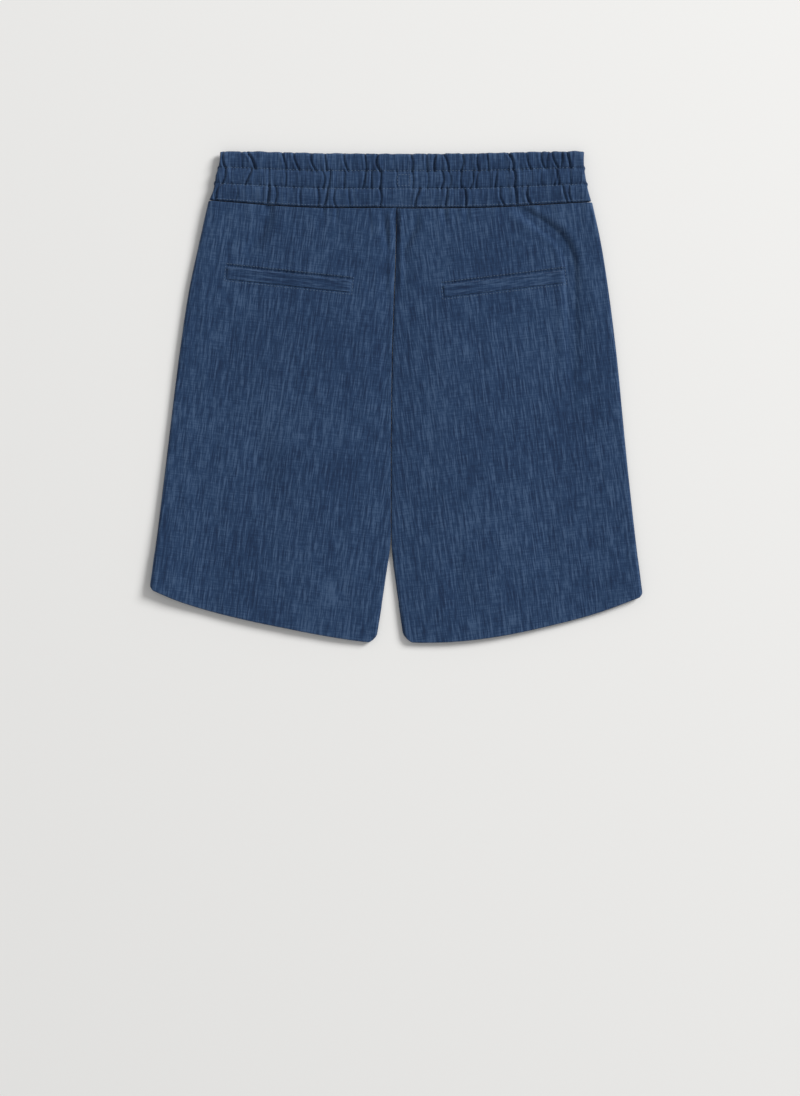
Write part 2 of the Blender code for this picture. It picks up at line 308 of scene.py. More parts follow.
def cloth(name, outer, inner, grain, wear):
    """A closed shell: outer and inner are grids of points in millimetres, joined by a rounded edge."""
    rows, columns = outer.shape[:2]
    order = edge_order(rows, columns)
    rim_outer, rim_inner = outer[order[:, 0], order[:, 1]], inner[order[:, 0], order[:, 1]]
    out = outward(outer, order)
    centre, half = (rim_outer + rim_inner) / 2, (rim_outer - rim_inner) / 2
    reach = np.linalg.norm(half, axis=1, keepdims=True)
    rings = [
        centre + half * math.cos(turn) + out * reach * math.sin(turn)
        for turn in np.radians((45, 90, 135))
    ]
    points = np.concatenate([outer.reshape(-1, 3), inner.reshape(-1, 3), *rings])
    at = np.arange(rows * columns).reshape(rows, columns)
    flat = np.stack([at[:-1, :-1], at[1:, :-1], at[1:, 1:], at[:-1, 1:]], axis=-1).reshape(-1, 4)
    rim_at = at[order[:, 0], order[:, 1]]
    size, count = rows * columns, len(order)
    loops = [rim_at, *[2 * size + number * count + np.arange(count) for number in range(3)], rim_at + size]
    bands = [
        np.stack([first, second, np.roll(second, -1), np.roll(first, -1)], axis=-1)
        for first, second in zip(loops[:-1], loops[1:])
    ]
    faces = np.concatenate([flat, flat[:, ::-1] + size, *[band[:, ::-1] for band in bands]])
    quads = points[faces]
    volume = np.einsum("ij,ij->i", quads[:, 0], np.cross(quads[:, 1], quads[:, 2])).sum()
    volume += np.einsum("ij,ij->i", quads[:, 0], np.cross(quads[:, 2], quads[:, 3])).sum()
    if volume < 0:
        faces = faces[:, ::-1]
    rim_grain, rim_wear = grain[order[:, 0], order[:, 1]], wear[order[:, 0], order[:, 1]]
    rim_maps = [rim_grain + out[:, :2] * reach * turn * MM for turn in (0.8, 1.6, 2.4)]
    maps = np.concatenate([grain.reshape(-1, 2), grain.reshape(-1, 2), *rim_maps])
    worn = np.concatenate([wear.ravel(), wear.ravel(), rim_wear, rim_wear, rim_wear])
    mesh = bpy.data.meshes.new(name)
    mesh.from_pydata((points * MM).tolist(), [], faces.tolist())
    mesh.uv_layers.new(name="grain").data.foreach_set("uv", maps[faces.ravel()].astype(np.float32).ravel())
    mesh.attributes.new("wear", "FLOAT", "POINT").data.foreach_set("value", worn.astype(np.float32))
    mesh.shade_smooth()
    piece = bpy.data.objects.new(name, mesh)
    scene.collection.objects.link(piece)
    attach(piece, "root")
    print(f"{name}: {2 * len(faces)} triangles, {abs(volume) / 6000:.1f} cm3 of cloth")
    return piece


def turned(x, y, degrees):
    """The grain map of a piece whose threads lean by some degrees from straight up, in metres."""
    turn = math.radians(degrees)
    across = x * math.cos(turn) - y * math.sin(turn)
    along = x * math.sin(turn) + y * math.cos(turn)
    return np.stack([across, along], -1) * MM

# %% [markdown]
# ## The camera
#
# Laid-flat clothes are shown from straight above, with the waist at the top. The lens is long and the
# camera is high, so nothing is drawn wider at its edges. Beside and below the shorts a broad strip of floor
# stays empty.

# %% Place the camera
VIEW_CENTRE = (3.8, -155.6)
VIEW_HEIGHT = 1129.0
CAMERA_HEIGHT = 3.0
CLOTH_LEVEL = 0.006

camera = bpy.data.objects.new("camera", bpy.data.cameras.new("camera"))
camera.data.sensor_fit = "VERTICAL"
camera.data.sensor_height = 24
camera.data.lens = 24 * CAMERA_HEIGHT / (VIEW_HEIGHT * MM)
camera.location = (VIEW_CENTRE[0] * MM, VIEW_CENTRE[1] * MM, CAMERA_HEIGHT + CLOTH_LEVEL)
scene.collection.objects.link(camera)
scene.camera = camera
print(f"lens {camera.data.lens:.1f} mm")

# %% [markdown]
# ## The back panels' form
#
# A back panel follows its solid from the waist seam to the hem. Along the outside and along the inside leg
# the cloth turns round a small radius to meet the front panel at the seam. Above the crotch, the two backs
# meet at the centre-back seam, where they dip into a shallow valley. The hem is turned up 38 mm, so the
# cloth there is almost twice as thick.

# %% The form of a leg panel
CLOTH = 0.9
HEM_CLOTH = 1.7
HEM_DEPTH = 38.0
RIM_ROOM = 0.05
SEAM_ROOM = 0.1
SEAM_ROUND = 3.2
CORNER_ROUND = 9.0
OUTER_CORNER_ROUND = 3.0
CLOSED_SEAM, OPEN_LEG = 0.6, 5
LOWEST_BACK = 2.9
HEIGHT_ROWS = np.linspace(0.025, 0.975, 26)
HEIGHT_COLUMNS = np.linspace(0.03, 0.97, 18)


def pulled_in(edges, amount):
    """The same edges, drawn in on all sides by half a thickness, to leave room for the rounded rim."""
    return {
        "left": lambda at: edges["left"](at) + amount,
        "right": lambda at: edges["right"](at) - amount,
        "top": lambda at: edges["top"](at) - amount,
        "bottom": lambda at: edges["bottom"](at) + amount,
    }


def form_height(node, edges, up, s, t):
    """The height of a solid's face on a fine grid, from rays at a coarse one."""
    x, y = spread_grid(edges, *np.meshgrid(HEIGHT_COLUMNS, HEIGHT_ROWS))
    coarse = heights(node, x, y, up)
    rows = smooth(HEIGHT_ROWS, np.eye(len(HEIGHT_ROWS)), t)
    columns = smooth(HEIGHT_COLUMNS, np.eye(len(HEIGHT_COLUMNS)), s)
    return rows @ coarse @ columns.T


def seam_height(back, front, edges, side, t):
    """The height at which a back and a front meet along one side: halfway between their facing sides."""
    s = np.full(len(HEIGHT_ROWS), 0.012 if side == "left" else 0.988)
    x, y = spread_grid(edges, s, HEIGHT_ROWS)
    under, over = heights(back, x, y, -1), heights(front, x, y, 1)
    found = np.nanmean([under, over], axis=0)
    return smooth(HEIGHT_ROWS, found, t)[:, None]


def round_corner(x, y, edges, side, radius):
    """Rounds one lower corner of a panel's grid, by drawing the grid in round it."""
    inward = 1 if side == "left" else -1
    beside = inward * (x - edges[side](y)) / radius
    above = (y - edges["bottom"](x)) / radius
    a, b = np.clip(1 - beside, 0, 1), np.clip(1 - above, 0, 1)
    x = x + inward * radius * a * (1 - np.sqrt(1 - b * b / 2))
    y = y + radius * b * (1 - np.sqrt(1 - a * a / 2))
    return x, y


def turn_down(z, seam, distance, radius):
    """Brings a face round to the seam's height within a radius of its edge."""
    part = np.clip(1 - distance / radius, 0, 1)
    return seam + (z - seam) * np.sqrt(1 - part * part)


LEGS = {
    "left": {"outer": "left", "inner": "right", "lean": 7.5},
    "right": {"outer": "right", "inner": "left", "lean": -7.5},
}


def leg_gap(y):
    """How far apart the two legs' inner edges are at a height, in millimetres."""
    return OUTLINES["back_right"]["left"](y) - OUTLINES["back_left"]["right"](y)


HEM_GAP = leg_gap(np.array([-250.0]))[0]
print("the legs part", round(float(HEM_GAP), 1), "mm at the hem")

# %% [markdown]
# ## Folds of the two back panels
#
# The band draws the cloth in, so short pleats run down from the waist seam and fade. The centre-back seam
# sinks into a deep crease, and one long trough runs over each hip. Every fold is a line of places on the
# garment, with a depth and a width in millimetres.

# %% Draw the folds of the backs
FOLD_STRENGTH = 1.35
CRUMPLE, FINE_CRUMPLE, PLEAT = 0.14, 0.05, 0.35
PLEATS_FADE = (52, 80)
FOLDS = [
    ([(0, 56), (-1, 92), (-1, 108), (-1, 124), (-2, 150)], 3.2, 2.6, (0.15, 0.2)),
    ([(24, 62), (19, 78), (12, 92), (3, 107)], 1.1, 3.5, (0.3, 0.3)),
    ([(-14, 58), (-12, 77), (-9.6, 92), (-5.5, 114)], 1.0, 3.2, (0.3, 0.3)),
    ([(-28, 56), (-27, 70), (-26, 92)], 0.5, 1.3, (0.3, 0.4)),
    (
        [(119, 55), (150, 75), (171, 92), (179, 110), (180, 142), (181, 205), (181, 297)],
        2.4, 5.0, (0.06, 0.75),
    ),
    ([(-130, 50), (-134, 71), (-150, 99), (-158, 118)], 1.2, 5.5, (0.15, 0.5)),
    ([(50, 55), (50, 66), (52, 82)], 0.9, 2.6, (0.1, 0.6)),
    ([(73, 54), (72, 66), (72, 78)], 0.9, 2.6, (0.1, 0.6)),
    ([(-75, 50), (-75, 60), (-76, 70)], 0.9, 1.6, (0.1, 0.6)),
    ([(-62, 50), (-62, 66), (-63, 80)], 0.9, 1.6, (0.1, 0.6)),
    ([(-100, 58), (-103, 76), (-104, 92)], 0.4, 1.2, (0.2, 0.4)),
    ([(62, 400), (66, 450), (70, 490)], 0.8, 14.0, (0.4, 0.4)),
    ([(152, 370), (155, 410), (158, 450)], 0.7, 12.0, (0.4, 0.4)),
    ([(-150, 255), (-140, 330), (-132, 400)], 0.9, 18.0, (0.4, 0.4)),
    ([(-176, 117.4), (-44, 131.8)], 1.3, 1.25, (0.02, 0.02)),
    ([(46, 136.9), (174.5, 121.1)], 1.3, 1.25, (0.02, 0.02)),
]


def back_relief(x, y, seed):
    """All folds and the soft crumple of a back panel, as a change of height."""
    across, down = across_of(x), down_of(y)
    relief = CRUMPLE * ripple(seed, x, y, (14, 40), 2.2)
    relief = relief + FINE_CRUMPLE * ripple(seed + 1, x, y, (5, 12), 2.5)
    for points, depth, width, ends in FOLDS:
        relief += fold(across, down, points, FOLD_STRENGTH * depth, width, ends)
    pleats = ripple(seed + 2, across, 0 * down, (7, 16))
    return relief + PLEAT * pleats * (1 - ease(down, *PLEATS_FADE))


FRONT_SWELL = 0.25
SEAM_LAP = {"left": 0.3, "right": -0.2}
BACK_SEEDS = {"left": 11, "right": 23}


def leg_height(side, back, edges, x, y, s, t):
    """The height of a leg panel's outer face: its form, its folds, and its turn round the seams."""
    node, up = (f"back_{side}", 1) if back else (f"front_{side}", -1)
    z = form_height(node, OUTLINES[node], up, s, t)
    if back:
        z = np.maximum(z + back_relief(x, y, BACK_SEEDS[side]), LOWEST_BACK)
    else:
        swell = FRONT_SWELL * (1 + ripple(37, x, y, (20, 50), 2))
        z = np.maximum(z, 0) + swell * ease(y - edges["bottom"](x), 0, 40)
    apart = up * (CLOTH / 2 + SEAM_ROOM)
    pair = (f"back_{side}", f"front_{side}", OUTLINES[node])
    outer_side, inner_side = LEGS[side]["outer"], LEGS[side]["inner"]
    seam = seam_height(*pair, outer_side, t) + apart
    z = turn_down(z, seam, np.abs(x - edges[outer_side](y)), SEAM_ROUND)
    open_leg = ease(leg_gap(y), CLOSED_SEAM, OPEN_LEG)
    beside = np.abs(x - edges[inner_side](y))
    seam = seam_height(*pair, inner_side, t) + apart
    z = z + open_leg * (turn_down(z, seam, beside, SEAM_ROUND) - z)
    valley = SEAM_LAP[side] * bell(beside, 3) - 0.4 * bell(beside, 0.9)
    return z + up * (1 - open_leg) * valley


def leg_panel(side, back, rows, columns):
    """One leg panel, back or front, from its solid."""
    node, up = (f"back_{side}", 1) if back else (f"front_{side}", -1)
    outer_side, inner_side = LEGS[side]["outer"], LEGS[side]["inner"]
    edges = pulled_in(OUTLINES[node], CLOTH / 2 + RIM_ROOM)
    s, t = np.linspace(0, 1, columns), np.linspace(0, 1, rows)
    x, y = spread_grid(edges, *np.meshgrid(s, t))
    z = leg_height(side, back, edges, x, y, s, t)
    x, y = round_corner(x, y, edges, inner_side, CORNER_ROUND)
    x, y = round_corner(x, y, edges, outer_side, OUTER_CORNER_ROUND)
    if not back:
        z = np.maximum(z, 0)
    outer = np.stack([x, y, z], -1)
    normals = grid_normals(outer, up)
    from_hem = y - edges["bottom"](x)
    thick = HEM_CLOTH - (HEM_CLOTH - CLOTH) * ease(from_hem, HEM_DEPTH - 1.5, HEM_DEPTH + 1.5)
    inner = outer - normals * thick[..., None]
    wear = np.maximum(bell(from_hem, 2.0), 0.6 * bell(np.abs(x - edges[outer_side](y)), 2.5))
    name = f"{'back' if back else 'front'}_panel_{side}"
    piece = cloth(name, outer, inner, turned(x, y, LEGS[side]["lean"]), wear)
    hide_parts(node)
    return piece


for side in LEGS:
    OUTLINES[f"front_{side}"] = outline(f"front_{side}", 12)
BACKS = {side: leg_panel(side, True, 310, 150) for side in LEGS}
FRONTS = {side: leg_panel(side, False, 110, 66) for side in LEGS}

# %% [markdown]
# ## The gathered waistband
#
# The band is a casing for wide elastic, sewn through in two rows, so it puffs out in three rows. The
# elastic draws the cloth in, and it buckles into sharp upright creases, uneven in length, depth and
# spacing. Each is given here by where it starts and ends across its row. Only a short patch at the centre
# back lies flat.

# %% Draw the gathers and make both halves of the band
BAND_CLOTH = 2.2
BAND_TALL = 57
BAND_SINK, BAND_TAPER = 0.6, 0.9
BAND_END_ROUND, BAND_SEAM_APART = 4.0, 1.2
GATHER_RATIO = 1.35
ROW_PUFF, WRINKLE, GATHER_DEPTH, PUCKER = 1.15, 0.22, 1.45, 0.35
FORM_STATIONS = 12
STITCH_ROWS = (0.32, 0.65)
GATHERS = (
    ((-179, -177, 1.2), (-160, -159, 0.6), (-153, -146, 1.6), (-118, -114, 1), (-106, -100, 1), (-88, -83, 1),
     (-74, -72, 1), (-54, -50, 1), (-33, -31, 1), (-20, -17, 1.6), (15, 16, 1), (31, 32, 1), (40, 39, 1.6),
     (49, 54, 1), (68, 66, 1), (83, 85, 1), (93, 95, 1), (116, 120, 1.6), (134, 138, 1), (149, 153, 1),
     (156, 155, 0.8), (160, 167, 1), (170, 169, 1), (176, 180, 1.6)),
    ((-177, -180, 1.2), (-149, -156, 1.6), (-131, -131, 0.6), (-115, -115, 0.6), (-76, -76, 0.8),
     (-68, -70, 1), (-53, -54, 1), (-32, -35, 1), (-26, -26, 1), (-16, -17, 1.6), (1, 1, 0.8),
     (16, 16, 0.9), (32, 32, 0.6),
     (47, 46, 1), (54, 54, 0.6), (67, 67, 0.9), (78, 76, 1), (85, 82, 0.8), (103, 101, 1), (121, 121, 1.6),
     (149, 149, 0.6), (164, 162, 1), (165, 167, 1), (180, 180, 0.6)),
    ((-181, -186, 1.2), (-165, -166, 0.6), (-131, -133, 1.6), (-125, -126, 1), (-99, -99, 0.6),
     (-81, -81, 0.6), (-71, -75, 1.6), (-63, -63, 1), (-50, -48, 0.6), (-17, -17, 1.6), (24, 19, 1.6),
     (52, 50, 1.6),
     (70, 71, 1.6), (107, 111, 1), (122, 124, 1.6), (135, 138, 1.6), (171, 176, 1), (178, 180, 1)),
)


def row_relief(row, across, part, hold, patch, rng):
    """The wrinkles and creases of one row; part runs from 0 at the row's top to 1 at its bottom."""
    relief = 0 * across
    for start, end, strength in GATHERS[row]:
        bow = rng.uniform(-2.2, 2.2)
        away = across - (start + (end - start) * part + bow * np.sin(np.pi * part))
        width = 0.85 + 0.25 * strength
        depth = GATHER_DEPTH * strength * (1 - 0.6 * patch) * hold
        beside = bell(np.abs(away) - 2.4 * width, 1.5 * width)
        relief += depth * (0.32 * beside - bell(away, width))
    return relief


def band_relief(across, tall):
    """How the band stands out: three puffed rows, the creases across them, and the puckers of the seams."""
    patch = ease(across, -16, -12) * (1 - ease(across, 14, 18)) * ease(tall, 0.33, 0.37)
    relief = 0 * across
    marks = (0, *STITCH_ROWS, 1)
    rng = np.random.default_rng(71)
    for row, (top, bottom) in enumerate(zip(marks[:-1], marks[1:])):
        part = np.clip((tall - top) / (bottom - top), 0, 1)
        within = (tall >= top) & (tall <= bottom)
        relief += np.where(within, ROW_PUFF * (1 - 0.5 * patch) * np.sin(np.pi * part) ** 0.6, 0)
        hold = ease(tall, top - 0.05, top + 0.03) * (1 - ease(tall, bottom - 0.03, bottom + 0.05))
        wrinkles = ripple(80 + row, across, 60 * tall, (5, 13), 5, count=40)
        relief += WRINKLE * hold * (1 - patch) * wrinkles
        relief += row_relief(row, across, part, hold, patch, rng)
    for number, row in enumerate(STITCH_ROWS):
        near = (tall - row) * BAND_TALL
        puckers = 1 + ripple(90 + number, across, 0 * across, (3.6, 5.6))
        relief -= PUCKER * (1 - patch) * bell(near, 3.0) * puckers
        relief -= PUCKER * bell(near, 0.8)
    return relief + 0.45 * bell((1 - tall) * BAND_TALL - 1.2, 1.0)


def band_outline(x, y, across, tall):
    """Nicks the band's upper edge at the gathers, and draws its ends in at the stitched rows."""
    nick = sum(0.9 * strength * bell(across - start, 1.6) for start, _, strength in GATHERS[0])
    scallop = nick + 0.35 * ripple(77, across, 0 * across, (9, 24))
    pinch = sum(bell((tall - row) * BAND_TALL, 2.2) for row in STITCH_ROWS) * 1.1
    drawn = x + pinch * (ease(-across, 150, 185) - ease(across, 165, 192))
    return drawn, y - scallop * (1 - ease(tall, 0, 0.25))


def band_form(node, up, s, t):
    """The band's own form along its length, without the puffs of its solid."""
    coarse = form_height(node, OUTLINES[node], up, s, t)
    mean = smooth(t, coarse, np.linspace(0, 1, 5)).mean(axis=0)
    stations = np.linspace(0, len(s) - 1, FORM_STATIONS).astype(int)
    return smooth(np.linspace(0, 1, FORM_STATIONS), mean[stations], s)[None, :]


def band_half(node, up, rows, columns, mirror):
    """Half of the band, with its three puffed rows and the creases across them."""
    edges = pulled_in(OUTLINES[node], BAND_CLOTH / 2 + RIM_ROOM)
    s, t = np.linspace(0, 1, columns), np.linspace(0, 1, rows)
    tall = np.meshgrid(s, t)[1]
    x, y = spread_grid(edges, *np.meshgrid(s, t))
    across = across_of(x) * mirror
    form = band_form(node, up, s, t) + 0 * x
    relief = band_relief(across, tall)
    x, y = band_outline(x, y, across, tall)
    taper = up * BAND_TAPER * ease(tall, 0.7, 1)
    z = form + up * relief - up * BAND_SINK - taper
    under = form - up * (BAND_SINK + BAND_CLOTH) - taper + up * 0.35 * relief
    for side in ("left", "right"):
        seam = seam_height("waistband_back", "waistband_front", OUTLINES[node], side, t)
        seam = seam + up * BAND_SEAM_APART
        inward = 1 if side == "left" else -1
        from_end = inward * (x - edges[side](y))
        z = turn_down(z, seam, from_end, BAND_END_ROUND)
        under = turn_down(under, seam, from_end - BAND_CLOTH, BAND_END_ROUND)
    if up < 0:
        z = np.maximum(z, 0)
    outer = np.stack([x, y, z], -1)
    drawn = 1 - 2 * BAND_CLOTH / 400
    inner = np.stack([(x - x.mean()) * drawn + x.mean(), y, under], -1)
    inner[..., 2] = up * np.minimum(up * inner[..., 2], up * z - 0.5)
    grain = np.stack([across * GATHER_RATIO, y], -1) * MM
    wear = np.maximum(bell(tall * BAND_TALL, 2.0), 0.5 * bell((1 - tall) * BAND_TALL, 1.5))
    piece = cloth(node.replace("waistband", "band"), outer, inner, grain, wear)
    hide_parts(node)
    return piece


OUTLINES["waistband_front"] = outline("waistband_front", 0)
band_back = band_half("waistband_back", 1, 84, 540, 1)
band_front = band_half("waistband_front", -1, 40, 280, -1)

# %% [markdown]
# ## Pocket welts
#
# A welt is a folded strip of the same linen, set into a cut in the panel. Its lower edge and ends are sewn
# down, and its upper edge is a free fold that hides the pocket's mouth, which is why a dark line shows
# along it.

# %% Make the welts on the finished panels
def surface_of(piece):
    """A finished piece's faces, in millimetres, for rays to meet."""
    corners = np.empty(3 * len(piece.data.vertices), np.float32)
    piece.data.vertices.foreach_get("co", corners)
    faces = [tuple(face.vertices) for face in piece.data.polygons]
    return BVHTree.FromPolygons([tuple(corner) for corner in corners.reshape(-1, 3) / MM], faces)


def height_on(tree, x, y):
    """The height of the cloth under a place, or the usual one where a ray passes beside it."""
    hit = tree.ray_cast(Vector((x, y, 100)), Vector((0, 0, -1)))[0]
    return hit.z if hit is not None else USUAL_HEIGHT


SURFACES = {side: surface_of(BACKS[side]) for side in LEGS}
SURFACES["band"] = surface_of(band_back)
WELT_TALL = 12.6
WELT_LONG = 128
WELT_CLEAR = 0.15
USUAL_HEIGHT = 6.0
WELT_ENDS = {"left": ((-174.0, 119.0), (-46.0, 132.9)), "right": ((48.0, 138.0), (172.5, 122.6))}


def welt_place(side, u, v):
    """x and y of a place on a welt: u runs along its upper edge and v down from it, from 0 to 1."""
    (x0, d0), (x1, d1) = WELT_ENDS[side]
    long = math.hypot(x1 - x0, d1 - d0)
    run_x, run_y = (x1 - x0) / long, -(d1 - d0) / long
    x = x0 + SEAM_X + u * long * run_x + v * WELT_TALL * run_y
    return x, WAIST_Y - d0 + u * long * run_y - v * WELT_TALL * run_x


WELTS = {}
for side in LEGS:
    u, v = np.meshgrid(np.linspace(0.004, 0.996, 130), np.linspace(0.04, 0.96, 18))
    x, y = welt_place(side, u, v)
    ground = [height_on(SURFACES[side], a, b) for a, b in zip(x.ravel(), y.ravel())]
    ground = np.array(ground).reshape(x.shape)
    from_end = np.minimum(u, 1 - u) * WELT_LONG
    swell = 1.25 - 0.6 * v**2 - 0.5 * bell(from_end, 1.6) + 0.06 * ripple(53, x, y, (6, 20), 2)
    outer = np.stack([x, y, ground + swell], -1)
    inner = np.stack([x, y, ground + WELT_CLEAR], -1)
    lean = 6.2 if side == "left" else -7.1
    wear = bell(v * WELT_TALL, 1.6)
    WELTS[side] = cloth(f"pocket_welt_{side}", outer, inner, turned(x, y, lean - 90), wear)
    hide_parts(f"welt_{side}")

# %% [markdown]
# ## Stitches
#
# Each stitch is a short rounded length of thread that lies on the cloth and dips in at both ends. Rays find
# the cloth under every stitch, so a row follows the gathers as a real seam does.

# %% Sew the rows
STITCH_LONG, STITCH_PITCH, THREAD = 2.3, 3.35, 0.22


THREAD_SIDES = 6
STITCH_RISE = np.array([-0.15, 0.1, 0.17, 0.1, -0.15])
STITCH_TAPER = np.array([0.5, 0.95, 1.0, 0.95, 0.5])


def one_stitch(line, tree, first):
    """Points and faces of one stitch along a short line of places; first is the number of its first point."""
    tall = np.array([height_on(tree, a, b) for a, b in line]) + STITCH_RISE
    along = (line[-1] - line[0]) / np.hypot(*(line[-1] - line[0]))
    points, faces = [], []
    for (x, y), z, size in zip(line, tall, THREAD * STITCH_TAPER):
        for turn in np.linspace(0, 2 * np.pi, THREAD_SIDES + 1)[:-1]:
            beside, rise = size * math.cos(turn), size * math.sin(turn)
            points.append((x - along[1] * beside, y + along[0] * beside, z + rise))
    rings = len(line)
    for ring in range(rings - 1):
        for number in range(THREAD_SIDES):
            a = first + ring * THREAD_SIDES + number
            b = first + ring * THREAD_SIDES + (number + 1) % THREAD_SIDES
            faces.append((a, b, b + THREAD_SIDES, a + THREAD_SIDES))
    last = first + (rings - 1) * THREAD_SIDES
    faces.append(tuple(range(first + THREAD_SIDES - 1, first - 1, -1)))
    faces.append(tuple(range(last, last + THREAD_SIDES)))
    return points, faces


def sew(name, runs, tree):
    """Rows of stitches along runs of places (x, y) on one piece's surface, joined into one piece."""
    points, faces, count = [], [], 0
    for run in runs:
        run = np.array(run, float)
        length = np.concatenate([[0], np.cumsum(np.hypot(*np.diff(run, axis=0).T))])
        for start in np.arange(0.6, length[-1] - STITCH_LONG, STITCH_PITCH):
            marks = np.linspace(start, start + STITCH_LONG, len(STITCH_RISE))
            places = [np.interp(marks, length, run[:, axis]) for axis in (0, 1)]
            more_points, more_faces = one_stitch(np.stack(places, -1), tree, len(points))
            points += more_points
            faces += more_faces
            count += 1
    mesh = bpy.data.meshes.new(name)
    mesh.from_pydata((np.array(points) * MM).tolist(), [], faces)
    mesh.shade_smooth()
    piece = bpy.data.objects.new(name, mesh)
    scene.collection.objects.link(piece)
    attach(piece, "root")
    print(f"{name}: {count} stitches")
    return piece


def band_run(tall, start, end):
    """A row across the band, tall of the way down it."""
    edges = OUTLINES["waistband_back"]
    x = np.linspace(start, end, 120)
    return np.stack([x, edges["top"](x) * (1 - tall) + edges["bottom"](x) * tall], -1)


BAND_ROWS = [band_run(0.32, -178, 186), band_run(0.65, -182, 188), band_run(0.955, -186, 194)]
band_stitches = sew("band_stitching", BAND_ROWS, SURFACES["band"])
PATCH_BOX = [(1.5, -24), (14, -24), (14, -35.5), (1.5, -35.5), (1.5, -24)]
PATCH_RUN = [(SEAM_X + across, WAIST_Y + rise) for across, rise in PATCH_BOX]
patch_stitches = sew("patch_stitching", [PATCH_RUN], SURFACES["band"])
WELT_BOX = [(-0.013, -0.26), (1.013, -0.26), (1.013, 1.15), (-0.013, 1.15), (-0.013, -0.26)]
welt_stitches = {}
for side in LEGS:
    ring = [welt_place(side, u, v) for u, v in WELT_BOX]
    welt_stitches[side] = sew(f"welt_stitching_{side}", [ring], SURFACES[side])

# %% [markdown]
# ## Linen
#
# Chambray linen has a blue warp and a paler weft. Its yarns are spun unevenly: thick places, called slubs,
# show as short pale or dark streaks along the warp and, more faintly, across it. Stretched noise on the
# grain map draws them, a fine crossing wave is the weave itself, and both also move the light as bump.
# Edges that rub are paler.

# %% Make the linen and the thread
def add_node(tree, kind, values=None, links=None, **settings):
    """A new node with settings, socket values and incoming links."""
    made = tree.nodes.new(kind)
    for key, value in settings.items():
        setattr(made, key, value)
    for key, value in (values or {}).items():
        made.inputs[key].default_value = value
    for key, source in (links or {}).items():
        tree.links.new(source, made.inputs[key])
    return made


def yarns(tree, grain, scale, detail, shift):
    """Noise drawn out along the threads: scale is how many yarns or slubs there are in a metre each way."""
    drawn = {"Scale": (*scale, 1), "Location": (shift, 3.1 * shift, 0)}
    moved = add_node(tree, "ShaderNodeMapping", drawn, {"Vector": grain})
    soft = {"Scale": 1.0, "Detail": detail, "Roughness": 0.55}
    at = {"Vector": moved.outputs[0]}
    return add_node(tree, "ShaderNodeTexNoise", soft, at, noise_dimensions="2D").outputs["Fac"]


def threads(tree, place, scale, distortion, direction):
    """The regular crossing of single threads, as a wave in one direction."""
    values = {"Scale": scale, "Distortion": distortion}
    wave = add_node(tree, "ShaderNodeTexWave", values, {"Vector": place}, bands_direction=direction)
    return wave.outputs["Fac"]


def coloured(tree, level, stops):
    """A colour ramp: stops are (place, colour), from dark to pale."""
    ramp = add_node(tree, "ShaderNodeValToRGB", None, {"Fac": level})
    stages = ramp.color_ramp.elements
    stages[0].color, stages[1].color = (*stops[0][1], 1), (*stops[-1][1], 1)
    for place, colour in stops[1:-1]:
        stages.new(place).color = (*colour, 1)
    return ramp.outputs[0]


def added(tree, parts):
    """The weighted sum of some noises, each less its own middle of a half, about 0."""
    total = None
    for source, weight in parts:
        centred = {1: weight, 2: -0.5 * weight}
        step = add_node(tree, "ShaderNodeMath", centred, {0: source}, operation="MULTIPLY_ADD")
        if total is None:
            total = step.outputs[0]
        else:
            both = {0: total, 1: step.outputs[0]}
            total = add_node(tree, "ShaderNodeMath", None, both, operation="ADD").outputs[0]
    return total


LINEN_COLOURS = [
    (0.0, (0.0060, 0.0215, 0.0640)),
    (0.5, (0.0115, 0.0390, 0.1020)),
    (1.0, (0.0420, 0.0850, 0.1720)),
]
THREAD_COLOURS = [(0.0, (0.060, 0.105, 0.180)), (1.0, (0.120, 0.180, 0.275))]


def make_linen():
    """Slubby chambray linen, on the map along the threads."""
    linen = bpy.data.materials.new("blue_linen")
    linen.use_nodes = True
    tree = linen.node_tree
    shader = tree.nodes["Principled BSDF"]
    grain = add_node(tree, "ShaderNodeUVMap", uv_map="grain").outputs[0]
    long_slubs = yarns(tree, grain, (430, 24), 2, 5)
    short_slubs = yarns(tree, grain, (900, 75), 2, 17)
    weft = yarns(tree, grain, (60, 800), 2, 29)
    mottle = yarns(tree, grain, (13, 9), 2, 41)
    warp_wave = threads(tree, grain, 620.0, 1.2, "X")
    weft_wave = threads(tree, grain, 560.0, 1.2, "Y")
    worn = add_node(tree, "ShaderNodeAttribute", attribute_name="wear").outputs["Fac"]
    tone = added(tree, [
        (long_slubs, 1.5), (short_slubs, 1.5), (weft, 0.8), (mottle, 0.55),
        (warp_wave, 0.10), (weft_wave, 0.14),
    ])
    rubbed = add_node(tree, "ShaderNodeMath", {1: 0.12}, {0: worn, 2: tone}, operation="MULTIPLY_ADD")
    level = add_node(
        tree, "ShaderNodeMath", {1: 0.5}, {0: rubbed.outputs[0]}, operation="ADD", use_clamp=True,
    ).outputs[0]
    tree.links.new(coloured(tree, level, LINEN_COLOURS), shader.inputs["Base Color"])
    rough = add_node(tree, "ShaderNodeMath", {1: -0.12, 2: 0.9}, {0: level}, operation="MULTIPLY_ADD")
    tree.links.new(rough.outputs[0], shader.inputs["Roughness"])
    raised = added(tree, [
        (long_slubs, 0.8), (short_slubs, 0.8), (weft, 0.7), (warp_wave, 0.5), (weft_wave, 0.5),
    ])
    bump = add_node(tree, "ShaderNodeBump", {"Strength": 0.8, "Distance": 0.00016}, {"Height": raised})
    tree.links.new(bump.outputs[0], shader.inputs["Normal"])
    shader.inputs["Sheen Weight"].default_value = 0.12
    shader.inputs["Sheen Roughness"].default_value = 0.5
    shader.inputs["Specular IOR Level"].default_value = 0.25
    return linen


